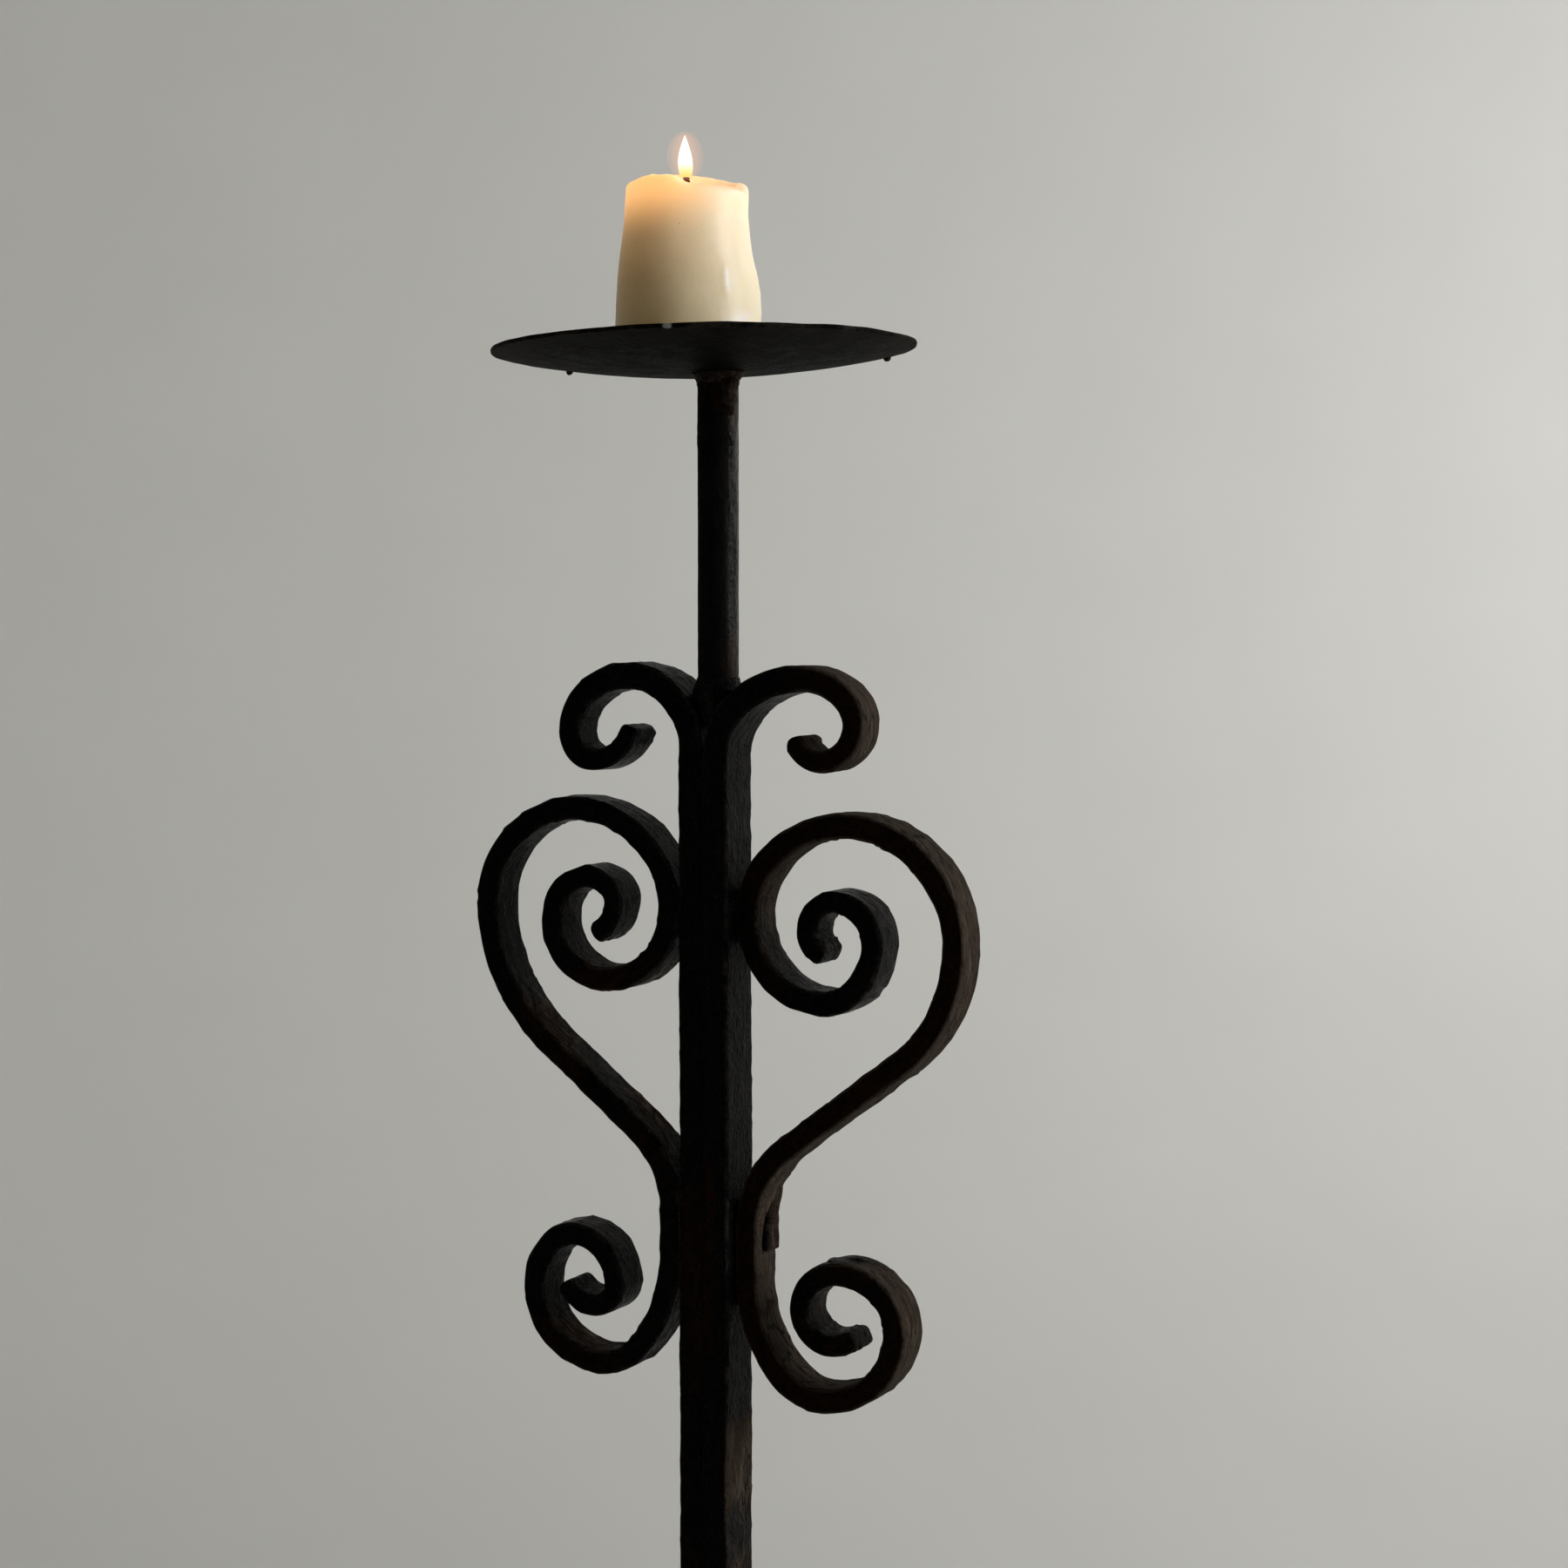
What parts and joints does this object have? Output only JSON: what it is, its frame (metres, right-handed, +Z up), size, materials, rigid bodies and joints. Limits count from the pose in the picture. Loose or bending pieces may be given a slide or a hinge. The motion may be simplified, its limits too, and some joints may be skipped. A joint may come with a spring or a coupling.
{
  "type": "pillar candle holder",
  "caption": "Floor-standing forged-iron candle holder: scrolled post on four curled legs, round stem, shallow drip pan and a lift-off cream pillar candle.",
  "frame": {"origin": "on the floor, on the axis of the square post", "axes": "+Z up, the scrolls lie in the XZ plane, the front faces -Y"},
  "size_m": [0.4004, 0.4004, 1.1408],
  "materials": {
    "forged_iron": "matte",
    "pan_iron": "matte",
    "weld_iron": "matte",
    "wax": "satin",
    "wick": "matte"
  },
  "bodies": {
    "stand": {"left_upright": "forged_iron", "right_upright": "forged_iron", "left_s_scroll": "forged_iron", "right_s_scroll": "forged_iron", "front_leg": "forged_iron", "back_leg": "forged_iron", "left_leg": "forged_iron", "right_leg": "forged_iron", "stem_tube": "forged_iron", "stem_foot_weld": "weld_iron", "pan_weld": "weld_iron", "left_scroll_welds": "weld_iron", "right_scroll_welds": "weld_iron", "seam_welds": "weld_iron", "leg_welds": "weld_iron", "drip_pan": "pan_iron", "pan_drips": "weld_iron"},
    "candle": {"candle_wax": "wax", "wick": "wick"}
  },
  "joints": [
    {"name": "candle_lift", "type": "slide", "parent": "stand", "child": "candle", "axis": [0, 0, 1], "range_m": [0, 0.08]}
  ]
}
